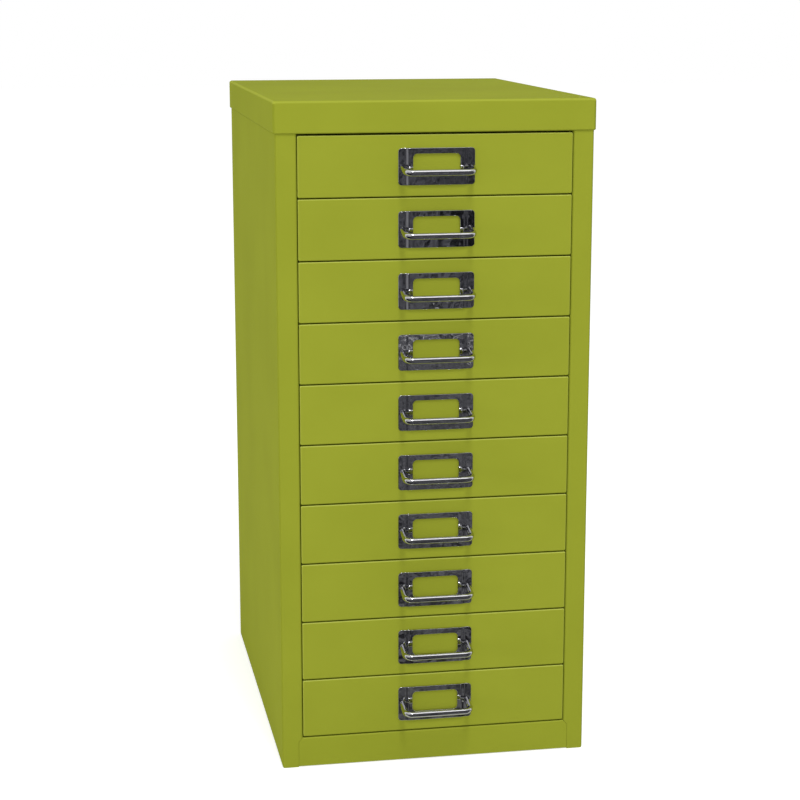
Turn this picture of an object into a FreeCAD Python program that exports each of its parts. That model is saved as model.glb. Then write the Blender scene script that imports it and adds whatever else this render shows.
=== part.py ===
import FreeCAD, Part
import math
import os

from FreeCAD import Vector

# A cabinet of folded and spot-welded sheet steel, with ten shallow drawers for A4 sheets, to stand on a desk.
# All sizes are in millimetres. X runs to the right, Y to the back and Z up, seen from the front.
# The origin is on the floor, under the centre of the cap.

# Outside of the cabinet
CAP_WIDTH = 279.0
CAP_DEPTH = 380.0
HEIGHT = 590.0
CAP_BAND = 27.4
CAP_OVERHANG = 1.5
SHEET = 0.9

# The front: two stiles, a cap band above and a plinth rail below
DRAWERS = 10
DRAWER_PITCH = 53.35
TOP_GAP_Z = 561.5
OPENING_WIDTH = 239.3
SIDE_GAP = 0.5
DRAWER_GAP = 1.1
STILE_RETURN = 16.0

# Bend radii, measured on the outside of the sheet
CAP_BEND = 2.5
CAP_CORNER = 2.8
HEM_THICKNESS = 1.4
HEM_HEIGHT = 8.0
HEM_ROUND = 1.3
BODY_BEND = 1.8
SIDE_BEND = 2.2
EDGE_BEND = 1.2
FRONT_CORNER = 1.3
FRONT_BEND = 1.0

# Carcass pieces that the front doesn't show
REAR_FLANGE = 12.0
SIDE_FLANGE = 12.0
SIDE_LIP = 3.2
TOP_EDGE_GAP = 0.6
TOP_FOLD_GAP = 1.0
BASE_HEIGHT = 20.0
BASE_RETURN = 12.0
BASE_SIDE_GAP = 3.5
BASE_CORNER = 1.8
BASE_BEND = 1.6
PLINTH_LIFT = 0.8
PLINTH_LAP = 3.6
PLINTH_SEAM = 0.2
PLINTH_FLANGE = 20.0
RAIL_FLANGE = 18.0
RAIL_CLEARANCE = 0.6

# Runner posts and runners, seen from the left side wall inwards
POST_WIDTH = 30.0
POST_TOP_Z = 561.0
POST_INSET = 27.0
RUNNER_REACH = 6.2
RUNNER_SIDE_PLAY = 1.0
RUNNER_FRONT_SETBACK = 20.5
RIM_PLAY = 0.5
STOP_TAB_LENGTH = 8.0
STOP_TAB_DROP = 5.5
STOP_PLAY = 0.3

# Drawers. Heights are counted from the middle of a drawer's share of the front
TRAY_FLOOR = -24.0
TRAY_RIM = 22.0
RIM_FOLD = 7.0
RIM_WIDTH = 6.4
RIM_SIDE_GAP = 1.05
TRAY_END_Y = 168.0
FRONT_THICKNESS = 13.0
TRAVEL = 280.0
LUG_LENGTH = 6.0
LUG_REACH = 4.4
LUG_HEIGHT = 3.4

# Handle: one plated piece, a card frame with a fixed pull
PLATE_WIDTH = 66.5
PLATE_TOP = 14.8
PLATE_BOTTOM = -16.7
PLATE_SHEET = 0.9
PLATE_CORNER = 3.0
PLATE_FOLD = 6.0
WINDOW_WIDTH = 41.0
WINDOW_TOP = 10.0
WINDOW_BOTTOM = -8.4
WINDOW_CORNER = 3.7
POCKET_WIDTH = 48.4
POCKET_DEPTH = 0.8
POCKET_SLOPE = 2.6
PLATE_ROUND = 0.35
PULL_WIDTH = 64.0
PULL_REACH = 21.4
PULL_THICKNESS = 5.0
PULL_HEIGHT = 5.4
PULL_BEND = 8.5
PULL_ROUND = 2.4
PULL_TILT = 12.0
PULL_ROOT = -0.7
TAB_PLACE = 30.0
TAB_HEIGHT = 8.0
TAB_THICKNESS = 1.2
TAB_FOLD = 5.0
SLOT_PLAY = 0.3

# How far the shape of a cut reaches past the faces it opens
CUT_PAST = 5.0

# Planes and lines that several pieces share
CAP_FRONT_Y = -CAP_DEPTH / 2
FRONT_Y = CAP_FRONT_Y + CAP_OVERHANG
BACK_Y = -FRONT_Y
BODY_X = CAP_WIDTH / 2 - CAP_OVERHANG
WALL_X = BODY_X - SHEET
BASE_X = BODY_X - BASE_SIDE_GAP
OPENING_X = OPENING_WIDTH / 2
CAP_LOWER_Z = HEIGHT - CAP_BAND
UNDER_CAP_Z = HEIGHT - SHEET
FRONT_X = OPENING_X - SIDE_GAP
PLINTH_TOP_Z = TOP_GAP_Z - DRAWERS * DRAWER_PITCH - DRAWER_GAP / 2
PLINTH_X = OPENING_X + PLINTH_LAP
RIM_X = OPENING_X - RIM_SIDE_GAP
TRAY_X = RIM_X - RIM_WIDTH
RUNNER_X = RIM_X + RUNNER_SIDE_PLAY + SHEET
RUNNER_FRONT_Y = FRONT_Y + RUNNER_FRONT_SETBACK
RUNNER_LOW = TRAY_RIM - RIM_FOLD - RIM_PLAY - SHEET
RUNNER_HIGH = TRAY_RIM + RIM_PLAY + SHEET

PLAN = Vector(0, 0, 1)
FRONT_VIEW = Vector(0, -1, 0)
SIDE_VIEW = Vector(1, 0, 0)


def box(x0, x1, y0, y1, z0, z1):
    return Part.makeBox(x1 - x0, y1 - y0, z1 - z0, Vector(x0, y0, z0))


def mirrored(shape):
    """The same piece for the right side of the cabinet."""
    return shape.mirror(Vector(0, 0, 0), Vector(1, 0, 0))


def rounded_face(points, radii):
    """A flat face with a straight outline through the points, each corner rounded by its radius."""
    edges = []
    last_end = None
    first_start = None
    for i, corner in enumerate(points):
        to_before = (points[i - 1] - corner).normalize()
        to_after = (points[(i + 1) % len(points)] - corner).normalize()
        half_angle = to_before.getAngle(to_after) / 2
        start = corner
        end = corner
        arc = None
        if radii[i] > 0:
            trim = radii[i] / math.tan(half_angle)
            start = corner + to_before * trim
            end = corner + to_after * trim
            inward = (to_before + to_after).normalize()
            middle = corner + inward * (radii[i] / math.sin(half_angle) - radii[i])
            arc = Part.Arc(start, middle, end).toShape()
        if last_end is None:
            first_start = start
        else:
            edges.append(Part.LineSegment(last_end, start).toShape())
        if arc:
            edges.append(arc)
        last_end = end
    edges.append(Part.LineSegment(last_end, first_start).toShape())
    return Part.Face(Part.Wire(edges))


def folded_sheet(points, plane, thickness, bend):
    """The section of a folded sheet. The points follow one of its faces, and the sheet lies to their left."""
    runs = [(b - a).normalize() for a, b in zip(points, points[1:])]
    lefts = [plane.cross(run) for run in runs]
    far_side = [points[0] + lefts[0] * thickness]
    near_radii = [0.0]
    far_radii = [0.0]
    for i in range(1, len(points) - 1):
        spread = 1 + lefts[i - 1].dot(lefts[i])
        far_side.append(points[i] + (lefts[i - 1] + lefts[i]) * (thickness / spread))
        turns_left = lefts[i - 1].dot(runs[i]) > 0
        near_radii.append(bend if turns_left else bend - thickness)
        far_radii.append(bend - thickness if turns_left else bend)
    far_side.append(points[-1] + lefts[-1] * thickness)
    near_radii.append(0.0)
    far_radii.append(0.0)
    return rounded_face(points + far_side[::-1], near_radii + far_radii[::-1])


def rounded_plate(x0, x1, z0, z1, radius, y0, y1):
    """A plate facing the front, with rounded corners."""
    corners = [Vector(x0, y0, z0), Vector(x1, y0, z0), Vector(x1, y0, z1), Vector(x0, y0, z1)]
    return rounded_face(corners, [radius] * 4).extrude(Vector(0, y1 - y0, 0))


def edges_along(shape, axis):
    """Straight edges that run along one axis."""
    found = []
    for edge in shape.Edges:
        span = edge.BoundBox
        lengths = [span.XLength, span.YLength, span.ZLength]
        along = lengths.pop(axis)
        if along > 1 and max(lengths) < 0.001:
            found.append(edge)
    return found


def edges_in_plane(shape, axis, place):
    """Edges that lie in the plane at this place on an axis."""
    found = []
    for edge in shape.Edges:
        span = edge.BoundBox
        low = [span.XMin, span.YMin, span.ZMin][axis]
        high = [span.XMax, span.YMax, span.ZMax][axis]
        if abs(low - place) < 0.001 and abs(high - place) < 0.001:
            found.append(edge)
    return found


def top_cap():
    """The lid: a shallow pan turned upside down, its lower edge hemmed inwards to meet the body."""
    half_x = CAP_WIDTH / 2
    half_y = CAP_DEPTH / 2
    outside = box(-half_x, half_x, -half_y, half_y, CAP_LOWER_Z, HEIGHT)
    outside = outside.makeFillet(CAP_CORNER, edges_along(outside, 2))
    outside = outside.makeFillet(CAP_BEND, edges_in_plane(outside, 2, HEIGHT))
    outside = outside.makeFillet(HEM_ROUND, edges_in_plane(outside, 2, CAP_LOWER_Z))
    hem_x = half_x - HEM_THICKNESS
    hem_y = half_y - HEM_THICKNESS
    hem_top = CAP_LOWER_Z + HEM_HEIGHT
    mouth = box(-hem_x, hem_x, -hem_y, hem_y, CAP_LOWER_Z - CUT_PAST, hem_top + CUT_PAST)
    mouth = mouth.makeFillet(CAP_CORNER - HEM_THICKNESS, edges_along(mouth, 2))
    inner_x = half_x - SHEET
    inner_y = half_y - SHEET
    hollow = box(-inner_x, inner_x, -inner_y, inner_y, hem_top, UNDER_CAP_Z)
    hollow = hollow.makeFillet(CAP_CORNER - SHEET, edges_along(hollow, 2))
    hollow = hollow.makeFillet(CAP_BEND - SHEET, edges_in_plane(hollow, 2, UNDER_CAP_Z))
    return outside.cut(mouth).cut(hollow)


def plinth_outline(grown, bottom_z, y0, y1):
    """The plinth's face with its two mitred top corners, as a solid, grown at the ends and the mitres."""
    half = PLINTH_X + grown
    top = PLINTH_TOP_Z + grown
    mitre_x = OPENING_X + grown * math.tan(math.pi / 8)
    mitre_z = top - (half - mitre_x)
    points = [
        Vector(-half, y0, bottom_z),
        Vector(half, y0, bottom_z),
        Vector(half, y0, mitre_z),
        Vector(mitre_x, y0, top),
        Vector(-mitre_x, y0, top),
        Vector(-half, y0, mitre_z),
    ]
    return rounded_face(points, [0.0] * 6).extrude(Vector(0, y1 - y0, 0))


def left_side_panel():
    """Side wall with a stile and its return in front, flanges at the rear and top, and a curled lower edge."""
    points = [
        Vector(REAR_FLANGE - BODY_X, BACK_Y, 0),
        Vector(-BODY_X, BACK_Y, 0),
        Vector(-BODY_X, FRONT_Y, 0),
        Vector(-OPENING_X, FRONT_Y, 0),
        Vector(-OPENING_X, FRONT_Y + STILE_RETURN, 0),
    ]
    wall = folded_sheet(points, PLAN, SHEET, BODY_BEND).extrude(Vector(0, 0, UNDER_CAP_Z - TOP_EDGE_GAP))
    outline = box(-BODY_X, 0, FRONT_Y, BACK_Y, 0, UNDER_CAP_Z)
    long_edges = [edge for edge in edges_along(outline, 1) if edge.BoundBox.XMax < 0]
    wall = wall.common(outline.makeFillet(SIDE_BEND, long_edges))
    flange_y = FRONT_Y + BODY_BEND
    flange_x = SIDE_FLANGE - BODY_X
    points = [
        Vector(flange_x, flange_y, UNDER_CAP_Z),
        Vector(-BODY_X, flange_y, UNDER_CAP_Z),
        Vector(-BODY_X, flange_y, 0),
        Vector(SIDE_LIP - BODY_X, flange_y, 0),
    ]
    length = BACK_Y - 2 * SHEET - flange_y
    flanges = folded_sheet(points, FRONT_VIEW, SHEET, SIDE_BEND).extrude(Vector(0, length, 0))
    return_y = FRONT_Y + STILE_RETURN
    plinth_notch = plinth_outline(PLINTH_SEAM, -CUT_PAST, FRONT_Y - CUT_PAST, return_y + CUT_PAST)
    return wall.fuse(flanges).cut(plinth_notch).removeSplitter()


def back_panel():
    """Flat rear sheet, welded inside the rear flanges, with its top edge folded forwards."""
    face_y = BACK_Y - SHEET
    half = BODY_X - BODY_BEND
    sheet = box(-half, half, face_y - SHEET, face_y, 0, UNDER_CAP_Z - EDGE_BEND)
    fold_x = BODY_X - SIDE_FLANGE - TOP_FOLD_GAP
    points = [
        Vector(-fold_x, face_y, 0),
        Vector(-fold_x, face_y, UNDER_CAP_Z),
        Vector(-fold_x, face_y - SHEET - SIDE_FLANGE, UNDER_CAP_Z),
    ]
    folded = folded_sheet(points, SIDE_VIEW, SHEET, EDGE_BEND).extrude(Vector(2 * fold_x, 0, 0))
    return sheet.fuse(folded).removeSplitter()


def base_pan():
    """Bottom of the cabinet: a raised floor whose edges fold down and then in, to stand on the table."""
    front = FRONT_Y + SHEET
    back = BACK_Y - 2 * SHEET
    outside = box(-BASE_X, BASE_X, front, back, 0, BASE_HEIGHT)
    outside = outside.makeFillet(BASE_CORNER, edges_along(outside, 2))
    outside = outside.makeFillet(BASE_BEND, edges_in_plane(outside, 2, 0))
    inner_x = BASE_X - SHEET
    hollow = box(-inner_x, inner_x, front + SHEET, back - SHEET, SHEET, BASE_HEIGHT - SHEET)
    hollow = hollow.makeFillet(BASE_CORNER - SHEET, edges_along(hollow, 2))
    hollow = hollow.makeFillet(BASE_BEND - SHEET, edges_in_plane(hollow, 2, SHEET))
    mouth_x = BASE_X - BASE_RETURN
    mouth = box(-mouth_x, mouth_x, front + BASE_RETURN, back - BASE_RETURN, -CUT_PAST, SHEET + CUT_PAST)
    return outside.cut(hollow).cut(mouth)


def plinth_rail():
    """Rail under the lowest drawer, folded back over the base pan and down onto it."""
    heel_y = FRONT_Y + PLINTH_FLANGE
    points = [
        Vector(-PLINTH_X, heel_y, BASE_HEIGHT),
        Vector(-PLINTH_X, heel_y, PLINTH_TOP_Z),
        Vector(-PLINTH_X, FRONT_Y, PLINTH_TOP_Z),
        Vector(-PLINTH_X, FRONT_Y, PLINTH_LIFT),
    ]
    channel = folded_sheet(points, SIDE_VIEW, SHEET, EDGE_BEND).extrude(Vector(2 * PLINTH_X, 0, 0))
    return channel.common(plinth_outline(0.0, -CUT_PAST, FRONT_Y - CUT_PAST, heel_y + CUT_PAST))


def top_front_rail():
    """Channel between the stiles, behind the cap's front band."""
    bottom_z = CAP_LOWER_Z + RAIL_CLEARANCE
    back_y = FRONT_Y + RAIL_FLANGE
    points = [
        Vector(-OPENING_X, back_y, UNDER_CAP_Z),
        Vector(-OPENING_X, FRONT_Y, UNDER_CAP_Z),
        Vector(-OPENING_X, FRONT_Y, bottom_z),
        Vector(-OPENING_X, back_y, bottom_z),
    ]
    return folded_sheet(points, SIDE_VIEW, SHEET, EDGE_BEND).extrude(Vector(OPENING_WIDTH, 0, 0))


def left_runner_posts():
    """Two upright channels on the left wall, which carry the ten left runners."""
    front_y = RUNNER_FRONT_Y + POST_INSET - POST_WIDTH / 2
    rear_y = TRAY_END_Y - POST_INSET - POST_WIDTH / 2
    posts = []
    for y in (front_y, rear_y):
        points = [
            Vector(-WALL_X, y, BASE_HEIGHT),
            Vector(-RUNNER_X, y, BASE_HEIGHT),
            Vector(-RUNNER_X, y + POST_WIDTH, BASE_HEIGHT),
            Vector(-WALL_X, y + POST_WIDTH, BASE_HEIGHT),
        ]
        section = folded_sheet(points, PLAN, SHEET, EDGE_BEND)
        posts.append(section.extrude(Vector(0, 0, POST_TOP_Z - BASE_HEIGHT)))
    return Part.makeCompound(posts)


def left_runner(middle_z):
    """Channel that the tray's rim slides in, with a stop tab in front and an end stop at the back."""
    low = middle_z + RUNNER_LOW
    high = middle_z + RUNNER_HIGH
    tip_x = RUNNER_REACH - RUNNER_X
    points = [
        Vector(tip_x, RUNNER_FRONT_Y, high),
        Vector(-RUNNER_X, RUNNER_FRONT_Y, high),
        Vector(-RUNNER_X, RUNNER_FRONT_Y, low),
        Vector(tip_x, RUNNER_FRONT_Y, low),
    ]
    end_y = TRAY_END_Y + STOP_PLAY
    length = end_y + SHEET - RUNNER_FRONT_Y
    channel = folded_sheet(points, FRONT_VIEW, SHEET, EDGE_BEND).extrude(Vector(0, length, 0))
    tab_end_y = RUNNER_FRONT_Y + STOP_TAB_LENGTH
    tab = box(tip_x - SHEET, tip_x, RUNNER_FRONT_Y, tab_end_y, low - STOP_TAB_DROP, low + SHEET)
    end_stop = box(SHEET - RUNNER_X, tip_x, end_y, end_y + SHEET, low + SHEET, high - SHEET)
    return channel.fuse([tab, end_stop]).removeSplitter()


def drawer_tray(middle_z):
    """Tray folded from one sheet. Its rims hang in the runners and its front wall closes the drawer front."""
    wall_front = FRONT_Y + FRONT_THICKNESS - SHEET
    trough_front = wall_front + SHEET
    floor = middle_z + TRAY_FLOOR
    rim = middle_z + TRAY_RIM
    fold = rim - RIM_FOLD
    inner_x = TRAY_X - SHEET
    points = [
        Vector(RIM_X, trough_front, fold),
        Vector(RIM_X, trough_front, rim),
        Vector(inner_x, trough_front, rim),
        Vector(inner_x, trough_front, floor + SHEET),
        Vector(-inner_x, trough_front, floor + SHEET),
        Vector(-inner_x, trough_front, rim),
        Vector(-RIM_X, trough_front, rim),
        Vector(-RIM_X, trough_front, fold),
    ]
    section = folded_sheet(points, FRONT_VIEW, SHEET, EDGE_BEND)
    trough = section.extrude(Vector(0, TRAY_END_Y - trough_front, 0))
    rear_wall = box(-inner_x, inner_x, TRAY_END_Y - SHEET, TRAY_END_Y, floor + SHEET, rim)
    wall_x = FRONT_X - SHEET
    wall_half = DRAWER_PITCH / 2 - DRAWER_GAP / 2 - SHEET
    front_wall = box(-wall_x, wall_x, wall_front, trough_front, middle_z - wall_half, middle_z + wall_half)
    lug_y = RUNNER_FRONT_Y + STOP_TAB_LENGTH + STOP_PLAY + TRAVEL
    lug_top = middle_z + RUNNER_LOW - STOP_PLAY
    lugs = []
    for side in (-1, 1):
        near, far = sorted([side * TRAY_X, side * (TRAY_X + LUG_REACH)])
        lugs.append(box(near, far, lug_y, lug_y + LUG_LENGTH, lug_top - LUG_HEIGHT, lug_top))
    return trough.fuse([rear_wall, front_wall] + lugs).removeSplitter()


def drawer_front(middle_z):
    """Outer pan of a drawer front, with two slots for the handle's tabs."""
    half = DRAWER_PITCH / 2 - DRAWER_GAP / 2
    back_y = FRONT_Y + FRONT_THICKNESS
    outside = box(-FRONT_X, FRONT_X, FRONT_Y, back_y, middle_z - half, middle_z + half)
    outside = outside.makeFillet(FRONT_CORNER, edges_along(outside, 1))
    outside = outside.makeFillet(FRONT_BEND, edges_in_plane(outside, 1, FRONT_Y))
    inner_x = FRONT_X - SHEET
    inner = half - SHEET
    hollow = box(-inner_x, inner_x, FRONT_Y + SHEET, back_y + CUT_PAST, middle_z - inner, middle_z + inner)
    pan = outside.cut(hollow)
    slot_x = TAB_THICKNESS / 2 + SLOT_PLAY
    low = middle_z - TAB_HEIGHT / 2 - SLOT_PLAY
    high = middle_z + TAB_HEIGHT / 2 + SLOT_PLAY
    for x in (-TAB_PLACE, TAB_PLACE):
        slot = box(x - slot_x, x + slot_x, FRONT_Y - CUT_PAST, FRONT_Y + CUT_PAST, low, high)
        pan = pan.cut(slot)
    return pan


def front_rims(plate):
    """Edges where the plate's front meets its outer sides and the sides of its window."""
    rims = []
    for edge in plate.Edges:
        middle = edge.valueAt((edge.FirstParameter + edge.LastParameter) / 2)
        turns = []
        for face in plate.Faces:
            if any(edge.isSame(other) for other in face.Edges):
                u, v = face.Surface.parameter(middle)
                turns.append(face.normalAt(u, v).y)
        if min(turns) < -0.5 and max(turns) > -0.05:
            rims.append(edge)
    return rims


def card_plate():
    """Card frame around z 0: two wings flat on the drawer and a raised middle that a card slides behind."""
    wing_y = FRONT_Y - PLATE_SHEET
    pocket_y = wing_y - POCKET_DEPTH
    half = PLATE_WIDTH / 2
    pocket = POCKET_WIDTH / 2
    foot = pocket + POCKET_SLOPE
    front_face = [(-half, wing_y), (-foot, wing_y), (-pocket, pocket_y)]
    front_face += [(-x, y) for x, y in reversed(front_face)]
    points = [Vector(x, y, PLATE_BOTTOM) for x, y in front_face]
    section = folded_sheet(points, PLAN, PLATE_SHEET, PLATE_FOLD)
    plate = section.extrude(Vector(0, 0, PLATE_TOP - PLATE_BOTTOM))
    near = FRONT_Y - CUT_PAST
    far = FRONT_Y + CUT_PAST
    outline = rounded_plate(-half, half, PLATE_BOTTOM, PLATE_TOP, PLATE_CORNER, near, far)
    opening = WINDOW_WIDTH / 2
    window = rounded_plate(-opening, opening, WINDOW_BOTTOM, WINDOW_TOP, WINDOW_CORNER, near, far)
    plate = plate.common(outline).cut(window)
    return plate.makeFillet(PLATE_ROUND, front_rims(plate))


def pull():
    """The pull around z 0: a stout flat U with rounded edges that leans down and out from the wings."""
    half = PULL_WIDTH / 2
    reach = PULL_REACH / math.cos(math.radians(PULL_TILT))
    points = [Vector(half, 0, 0), Vector(half, reach, 0), Vector(-half, reach, 0), Vector(-half, 0, 0)]
    section = folded_sheet(points, PLAN, PULL_THICKNESS, PULL_BEND)
    band = section.extrude(Vector(0, 0, PULL_HEIGHT))
    band.translate(Vector(0, 0, -PULL_HEIGHT / 2))
    faces = edges_in_plane(band, 2, -PULL_HEIGHT / 2) + edges_in_plane(band, 2, PULL_HEIGHT / 2)
    root = edges_in_plane(band, 1, 0)
    rims = [edge for edge in faces if not any(edge.isSame(other) for other in root)]
    band = band.makeFillet(PULL_ROUND, rims)
    band.rotate(Vector(0, 0, 0), Vector(1, 0, 0), 180 + PULL_TILT)
    band.translate(Vector(0, FRONT_Y - PLATE_SHEET / 2, PULL_ROOT))
    behind = box(-PULL_WIDTH, PULL_WIDTH, FRONT_Y, FRONT_Y + CUT_PAST, PLATE_BOTTOM, PLATE_TOP)
    return band.cut(behind)


def handle():
    """Card frame, pull and the two tabs that pass through the drawer front and fold over behind it."""
    shape = card_plate().fuse(pull())
    skin_back = FRONT_Y + SHEET
    low = -TAB_HEIGHT / 2
    high = TAB_HEIGHT / 2
    for side in (-1, 1):
        near = side * (TAB_PLACE + TAB_THICKNESS / 2)
        far = near - side * TAB_THICKNESS
        folded = near - side * TAB_FOLD
        x0, x1 = sorted([near, far])
        stem = box(x0, x1, FRONT_Y - PLATE_SHEET / 2, skin_back + SHEET, low, high)
        x0, x1 = sorted([near, folded])
        clinch = box(x0, x1, skin_back, skin_back + SHEET, low, high)
        shape = shape.fuse([stem, clinch])
    return shape.removeSplitter()


def write(shape, node):
    """Writes one node, after making sure that it holds sound solids."""
    if not shape.isValid() or not shape.Solids:
        raise ValueError(node + " is not a sound solid")
    shape.exportStep("parts/" + node + ".step")
    print(node, "solids", len(shape.Solids), "volume", round(shape.Volume))


def main():
    os.makedirs("parts", exist_ok=True)
    write(top_cap(), "top_cap")
    side = left_side_panel()
    write(side, "left_side_panel")
    write(mirrored(side), "right_side_panel")
    write(back_panel(), "back_panel")
    write(base_pan(), "base_pan")
    write(plinth_rail(), "plinth_rail")
    write(top_front_rail(), "top_front_rail")
    posts = left_runner_posts()
    write(posts, "left_runner_posts")
    write(mirrored(posts), "right_runner_posts")
    master_handle = handle()
    for number in range(1, DRAWERS + 1):
        middle_z = TOP_GAP_Z - DRAWER_PITCH * (number - 0.5)
        runner = left_runner(middle_z)
        write(runner, f"left_runner_{number:02d}")
        write(mirrored(runner), f"right_runner_{number:02d}")
        write(drawer_tray(middle_z), f"drawer_tray_{number:02d}")
        write(drawer_front(middle_z), f"drawer_front_{number:02d}")
        placed_handle = master_handle.copy()
        placed_handle.translate(Vector(0, 0, middle_z))
        write(placed_handle, f"drawer_handle_{number:02d}")


main()
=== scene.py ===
import math

import bpy
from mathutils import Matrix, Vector

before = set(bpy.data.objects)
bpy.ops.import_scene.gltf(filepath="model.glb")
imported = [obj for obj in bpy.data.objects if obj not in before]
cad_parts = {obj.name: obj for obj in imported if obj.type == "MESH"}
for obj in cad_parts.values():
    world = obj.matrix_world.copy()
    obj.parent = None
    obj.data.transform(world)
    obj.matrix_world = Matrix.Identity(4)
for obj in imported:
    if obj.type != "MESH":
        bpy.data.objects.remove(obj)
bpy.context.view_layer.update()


# The carcass: cap, side panels, back, plinth, base pan, runner posts and the rail behind the cap's
# band. Sheet steel of 0.9 mm, folded on a press brake, spot-welded and then powder coated in one
# colour, so the paint runs over every fold and weld alike.

CARCASS = ["top_cap", "left_side_panel", "right_side_panel", "back_panel", "base_pan", "plinth_rail",
           "top_front_rail", "left_runner_posts", "right_runner_posts"]
DRIFT_SIZE = 0.080
PEEL_SIZE = 0.0025
GRAIN_SIZE = 0.0006
PEEL_HEIGHT = 0.00006
GRAIN_SHARE = 0.30
PAINT_IOR = 1.45
PAINT_GLARE = 0.015
# The normal's parts to the fourth power add up to 1 on a flat face and to less on a fold.
FLAT_FACE = 1.0
ROUND_FOLD = 0.6
# How far up or down the normal of a fold points when it counts as an upper or a lower one.
LEVEL_FOLD = 0.3


def linear(hex_colour):
    """An sRGB hex colour as linear RGBA."""
    parts = [int(hex_colour[i:i + 2], 16) / 255 for i in (1, 3, 5)]
    return [p / 12.92 if p <= 0.04045 else ((p + 0.055) / 1.055) ** 2.4 for p in parts] + [1.0]


def add(material, kind, inputs=None, **settings):
    """Adds a shader node to a material, with its settings, and its inputs as values or links."""
    tree = material.node_tree
    node = tree.nodes.new("ShaderNode" + kind)
    for name, value in settings.items():
        setattr(node, name, value)
    for name, value in (inputs or {}).items():
        if isinstance(value, bpy.types.NodeSocket):
            tree.links.new(value, node.inputs[name])
        else:
            node.inputs[name].default_value = value
    return node


def folds(material, normal):
    """1 on the rounded folds of a sheet whose flat faces are square to the axes, 0 on those faces."""
    squared = add(material, "VectorMath", {0: normal, 1: normal}, operation="MULTIPLY").outputs["Vector"]
    fourth = add(material, "VectorMath", {0: squared, 1: squared}, operation="DOT_PRODUCT").outputs["Value"]
    return add(material, "MapRange", {"Value": fourth, "From Min": FLAT_FACE,
                                      "From Max": ROUND_FOLD}).outputs["Result"]


def powder_coat(name, light, dark, fold_light_and_shade, roughness):
    """Satin polyester powder coat, with painted shade and painted highlight on its lower, upright and upper
    folds.
    """
    paint = bpy.data.materials.new(name)
    paint.use_nodes = True
    paint.node_tree.nodes.clear()
    place = add(paint, "TexCoord").outputs["Object"]
    # The film's thickness drifts over a hand's width, which shifts its shade and gloss a little.
    drift = add(paint, "TexNoise", {"Vector": place, "Scale": 1 / DRIFT_SIZE, "Detail": 3.0})
    shade = add(paint, "ValToRGB", {"Fac": drift.outputs["Fac"]})
    for element, position, colour in zip(shade.color_ramp.elements, (0.30, 0.70), (dark, light)):
        element.position = position
        element.color = linear(colour)
    gloss = add(paint, "MapRange", {"Value": drift.outputs["Fac"], "To Min": roughness - 0.03,
                                    "To Max": roughness + 0.04})
    # Orange peel has waves of 2 to 3 mm; pinprick grain of 0.25 mm is drawn at 0.6 mm to show.
    peel = add(paint, "TexNoise", {"Vector": place, "Scale": 1 / PEEL_SIZE, "Detail": 1.5})
    grain = add(paint, "TexNoise", {"Vector": place, "Scale": 1 / GRAIN_SIZE, "Detail": 1.0})
    relief = add(paint, "Mix", {"Factor": GRAIN_SHARE, "A": peel.outputs["Fac"], "B": grain.outputs["Fac"]})
    bump = add(paint, "Bump", {"Strength": 0.35, "Distance": PEEL_HEIGHT, "Height": relief.outputs["Result"]})
    # The folds are painted in three colours by the way they face, down, sideways or up: painted
    # shade where the light from above misses them, painted highlight where it catches them.
    normal = add(paint, "NewGeometry").outputs["Normal"]
    rise = add(paint, "SeparateXYZ", {"Vector": normal}).outputs["Z"]
    turn = add(paint, "MapRange", {"Value": rise, "From Min": -LEVEL_FOLD, "From Max": LEVEL_FOLD})
    fold_painted_light = add(paint, "ValToRGB", {"Fac": turn.outputs["Result"]})
    fold_painted_light.color_ramp.elements.new(0.5)
    for element, colour in zip(fold_painted_light.color_ramp.elements, fold_light_and_shade):
        element.color = linear(colour)
    tone_and_fold_light = add(paint, "Mix", {"Factor": folds(paint, normal), "A": shade.outputs["Color"],
                              "B": fold_painted_light.outputs["Color"]}, data_type="RGBA")
    coat = add(paint, "BsdfPrincipled", {
        "Base Color": tone_and_fold_light.outputs["Result"], "Roughness": gloss.outputs["Result"], "IOR": PAINT_IOR,
        "Specular IOR Level": PAINT_GLARE, "Normal": bump.outputs["Normal"]})
    add(paint, "OutputMaterial", {"Surface": coat.outputs["BSDF"]})
    return paint


def dress(nodes, material):
    """Gives every one of these CAD nodes that material alone."""
    for node in nodes:
        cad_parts[node].data.materials.clear()
        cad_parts[node].data.materials.append(material)


# On the carcass, folds that face up are painted paler as painted highlight, the others darker as painted
# shade.
dress(CARCASS, powder_coat("powder_coat_lime_olive", "#99a132", "#949c2f",
                           fold_light_and_shade=("#8b932b", "#8b932b", "#a2aa3c"), roughness=0.75))


# The runners: ten C-shaped channels on each side, bent from the same sheet, welded to the posts
# and coated with the carcass, where the sliding rims have polished the paint.

DRAWERS = [f"{n:02d}" for n in range(1, 11)]
# On the runners, folds that face up take the light tone as painted highlight, the others the dark tone as
# painted shade.
dress([f"{side}_runner_{n}" for n in DRAWERS for side in ("left", "right")],
      powder_coat("powder_coat_polished_by_rims", "#909830", "#88902c",
                  fold_light_and_shade=("#88902c", "#88902c", "#909830"), roughness=0.40))


# The drawers: a folded tray whose rims slide in the runners, and an outer front pan that is
# welded over the tray's front wall. Both are coated in the carcass colour.

# On the drawer fronts, folds that face up or sideways are painted paler as painted highlight, those that face
# down darker as painted shade.
dress([f"drawer_front_{n}" for n in DRAWERS],
      powder_coat("powder_coat_drawer_front", "#9aa233", "#959d30",
                  fold_light_and_shade=("#8f972d", "#acb446", "#b9c15a"), roughness=0.75))
# On the trays, folds that face up take the light tone as painted highlight, the others the dark tone as
# painted shade.
dress([f"drawer_tray_{n}" for n in DRAWERS],
      powder_coat("powder_coat_tray", "#959d30", "#8d952c",
                  fold_light_and_shade=("#8d952c", "#8d952c", "#959d30"), roughness=0.75))


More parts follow.
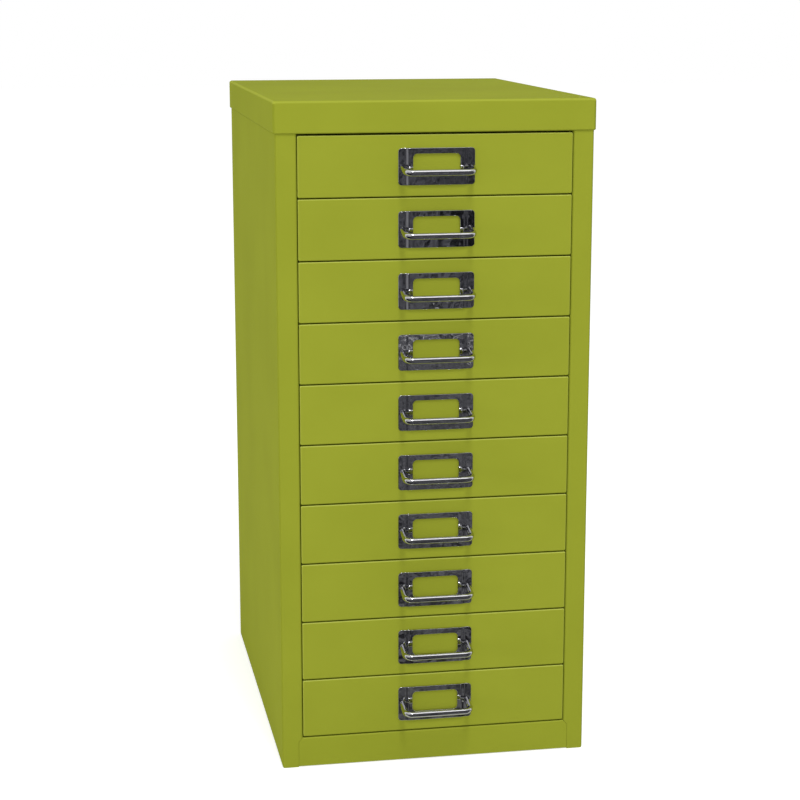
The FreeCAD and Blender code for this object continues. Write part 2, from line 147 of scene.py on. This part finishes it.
# The handles: a card frame with a window and a fixed pull, made of steel as one piece, polished
# and chromium plated. The plating mirrors the room, bent by slight waves left by the polishing.

WAVE_SIZE = 0.009
WAVE_HEIGHT = 0.0003
SMEAR_SIZE = 0.004
CLEAN_ROUGHNESS = 0.03
SMEARED_ROUGHNESS = 0.07


def chrome_plating(name):
    """Bright chromium over polished steel: a slightly blue mirror with soft waves and faint smears."""
    metal = bpy.data.materials.new(name)
    metal.use_nodes = True
    metal.node_tree.nodes.clear()
    place = add(metal, "TexCoord").outputs["Object"]
    waves = add(metal, "TexNoise", {"Vector": place, "Scale": 1 / WAVE_SIZE, "Detail": 1.0})
    bump = add(metal, "Bump", {"Strength": 0.5, "Distance": WAVE_HEIGHT, "Height": waves.outputs["Fac"]})
    smear = add(metal, "TexNoise", {"Vector": place, "Scale": 1 / SMEAR_SIZE, "Detail": 2.0})
    gloss = add(metal, "MapRange", {"Value": smear.outputs["Fac"], "To Min": CLEAN_ROUGHNESS,
                                    "To Max": SMEARED_ROUGHNESS})
    plate = add(metal, "BsdfPrincipled", {
        "Base Color": linear("#c2c2c5"), "Metallic": 1.0, "Roughness": gloss.outputs["Result"],
        "Normal": bump.outputs["Normal"]})
    add(metal, "OutputMaterial", {"Surface": plate.outputs["BSDF"]})
    return metal


dress([f"drawer_handle_{n}" for n in DRAWERS], chrome_plating("bright_chrome_plate"))


# The room: a wide pale floor of matt board that keeps the cabinet's shadow. It shows a little
# lighter to the camera than it is, so that it runs into the white behind it.

FLOOR_HALF = 12.0
FLOOR_LIFT = 0.60
floor_mesh = bpy.data.meshes.new("floor")
floor_mesh.from_pydata([(-FLOOR_HALF, -FLOOR_HALF, 0), (FLOOR_HALF, -FLOOR_HALF, 0),
                        (FLOOR_HALF, FLOOR_HALF, 0), (-FLOOR_HALF, FLOOR_HALF, 0)], [], [(0, 1, 2, 3)])
floor = bpy.data.objects.new("floor", floor_mesh)
bpy.context.scene.collection.objects.link(floor)
white_floor = bpy.data.materials.new("matt_white_floor")
white_floor.use_nodes = True
white_floor.node_tree.nodes.clear()
matt = add(white_floor, "BsdfDiffuse", {"Color": linear("#dedede")})
ray = add(white_floor, "LightPath")
seen = add(white_floor, "Math", {0: ray.outputs["Is Camera Ray"], 1: FLOOR_LIFT}, operation="MULTIPLY")
lift = add(white_floor, "Emission", {"Color": (1, 1, 1, 1), "Strength": seen.outputs[0]})
both = add(white_floor, "AddShader", {0: matt.outputs["BSDF"], 1: lift.outputs["Emission"]})
add(white_floor, "OutputMaterial", {"Surface": both.outputs["Shader"]})
floor_mesh.materials.append(white_floor)


# The sky: even white all round. The camera and the plating see it at full strength, and it lights
# the cabinet with the strength SKY.

SKY = 0.58
sky = bpy.data.worlds.new("white_sky")
bpy.context.scene.world = sky
sky.use_nodes = True
sky.node_tree.nodes.clear()
ray = add(sky, "LightPath")
seen = add(sky, "Math", {0: ray.outputs["Is Camera Ray"], 1: ray.outputs["Is Glossy Ray"]},
           operation="MAXIMUM")
seen = add(sky, "Math", {0: seen.outputs[0], 1: ray.outputs["Is Transmission Ray"]}, operation="MAXIMUM")
strength = add(sky, "MapRange", {"Value": seen.outputs[0], "To Min": SKY, "To Max": 1.0})
shine = add(sky, "Background", {"Color": (1, 1, 1, 1), "Strength": strength.outputs["Result"]})
add(sky, "OutputWorld", {"Surface": shine.outputs["Background"]})


# The lamps: a soft box above and in front, a narrow strip whose light line the pulls mirror, a low
# box on the left that lights the side, and one in front that lights the drawers.

def soft_box(name, place, target, width, height, power):
    """A rectangular area lamp of that size in metres and power in watts, turned towards a point."""
    light = bpy.data.lights.new(name, "AREA")
    light.shape = "RECTANGLE"
    light.size = width
    light.size_y = height
    light.energy = power
    lamp = bpy.data.objects.new(name, light)
    lamp.location = place
    lamp.rotation_euler = (Vector(target) - Vector(place)).to_track_quat("-Z", "Y").to_euler()
    bpy.context.scene.collection.objects.link(lamp)
    return lamp


soft_box("overhead_strip", place=(0.0, -1.9, 3.3), target=(0, 0, 0.35), width=0.4, height=1.4, power=40.0)
soft_box("highlight_strip", place=(0.35, -1.5, 2.9), target=(0, 0, 0.35), width=1.6, height=0.3, power=5.0)
left_fill = soft_box("left_fill", place=(-3.2, -0.6, 0.55), target=(0, 0, 0.25), width=2.0, height=1.0,
                     power=28.0)
front_fill = soft_box("front_fill", place=(0.1, -3.2, 0.8), target=(0, 0, 0.3), width=2.0, height=0.8,
                      power=14.0)
left_fill.visible_glossy = False
front_fill.visible_glossy = False


# Dark cloths that photographers set out for plated metal: one hangs in an arc behind the camera and
# one lies on the floor in front, and the handles mirror them. The camera never sees them.

HANG_RADIUS = 2.4
HANG_TOP = 2.0
HANG_SWEEP = 75
HANG_STEPS = 48
FLOOR_CLOTH_HALF = 2.2
FLOOR_CLOTH_NEAR = -2.3
FLOOR_CLOTH_FAR = -0.24
FLOOR_CLOTH_Z = 0.003
CREASE_SIZE = 0.035
# The cloths are dark ahead of the handles, and their ends to the sides have another grey. The two
# limits are cosines of the angle from the darkest way.
DARKEST_WAY = (0.34, -0.94, 0)
DARK_LIMIT = 0.90
END_LIMIT = 0.60


def felt(name, crease_shade, crease_light, ends, along):
    """Flat felt with long soft creases painted on as shade and light in two greys, a third grey to the ends.
    """
    wool = bpy.data.materials.new(name)
    wool.use_nodes = True
    wool.node_tree.nodes.clear()
    place = add(wool, "NewGeometry").outputs["Position"]
    drawn = add(wool, "Mapping", {"Vector": place, "Scale": along})
    painted_creases = add(wool, "TexNoise", {"Vector": drawn.outputs["Vector"], "Scale": 1 / CREASE_SIZE,
                                     "Detail": 2.0})
    # The noise paints the creases: painted shade in the valleys and painted light on the ridges.
    grey = add(wool, "ValToRGB", {"Fac": painted_creases.outputs["Fac"]})
    for element, position, colour in zip(grey.color_ramp.elements, (0.40, 0.64), (crease_shade, crease_light)):
        element.position = position
        element.color = linear(colour)
    flat = add(wool, "VectorMath", {0: place, 1: (1, 1, 0)}, operation="MULTIPLY")
    ahead = add(wool, "VectorMath", {0: flat.outputs["Vector"]}, operation="NORMALIZE")
    front = add(wool, "VectorMath", {0: ahead.outputs["Vector"], 1: DARKEST_WAY}, operation="DOT_PRODUCT")
    side = add(wool, "MapRange", {"Value": front.outputs["Value"], "From Min": DARK_LIMIT,
                                  "From Max": END_LIMIT})
    ended = add(wool, "Mix", {"Factor": side.outputs["Result"], "A": grey.outputs["Color"],
                              "B": linear(ends)}, data_type="RGBA")
    matt = add(wool, "BsdfDiffuse", {"Color": ended.outputs["Result"]})
    add(wool, "OutputMaterial", {"Surface": matt.outputs["BSDF"]})
    return wool


def cloth(name, points, faces, material):
    """A cloth seen only in reflections."""
    mesh = bpy.data.meshes.new(name)
    mesh.from_pydata(points, [], faces)
    mesh.materials.append(material)
    sheet = bpy.data.objects.new(name, mesh)
    bpy.context.scene.collection.objects.link(sheet)
    sheet.visible_camera = False
    sheet.visible_diffuse = False
    sheet.visible_shadow = False


bends = [math.radians(-HANG_SWEEP + 2 * HANG_SWEEP * i / HANG_STEPS) for i in range(HANG_STEPS + 1)]
rail = [(HANG_RADIUS * math.sin(a), -HANG_RADIUS * math.cos(a)) for a in bends]
cloth("hanging_cloth", [(x, y, z) for z in (0.0, HANG_TOP) for x, y in rail],
      [(i, i + 1, i + 2 + HANG_STEPS, i + 1 + HANG_STEPS) for i in range(HANG_STEPS)],
      felt("hanging_felt", crease_shade="#161619", crease_light="#727278", ends="#d0d0d4", along=(1, 1, 0.25)))
corners = [(-FLOOR_CLOTH_HALF, FLOOR_CLOTH_NEAR), (FLOOR_CLOTH_HALF, FLOOR_CLOTH_NEAR),
           (FLOOR_CLOTH_HALF, FLOOR_CLOTH_FAR), (-FLOOR_CLOTH_HALF, FLOOR_CLOTH_FAR)]
cloth("floor_cloth", [(x, y, FLOOR_CLOTH_Z) for x, y in corners], [(0, 1, 2, 3)],
      felt("floor_felt", crease_shade="#1e1e22", crease_light="#7c7c80", ends="#1c1c20", along=(1, 1, 1)))


# The camera stands almost 2 m away, a little to the left and above the cap, and looks slightly
# down on the cabinet through a short telephoto lens.

CAMERA_PLACE = (-0.328, -1.818, 0.682)
CAMERA_AIM = (0.17507, 0.96263, -0.20665)
SENSOR_WIDTH_MM = 36.0
LENS_MM = 87.8
NEAREST = 0.05
FARTHEST = 100.0
camera = bpy.data.cameras.new("camera")
camera.sensor_width = SENSOR_WIDTH_MM
camera.lens = LENS_MM
camera.clip_start = NEAREST
camera.clip_end = FARTHEST
eye = bpy.data.objects.new("camera", camera)
eye.location = CAMERA_PLACE
eye.rotation_euler = Vector(CAMERA_AIM).to_track_quat("-Z", "Y").to_euler()
bpy.context.scene.collection.objects.link(eye)
bpy.context.scene.camera = eye
bpy.context.scene.view_settings.view_transform = "Standard"
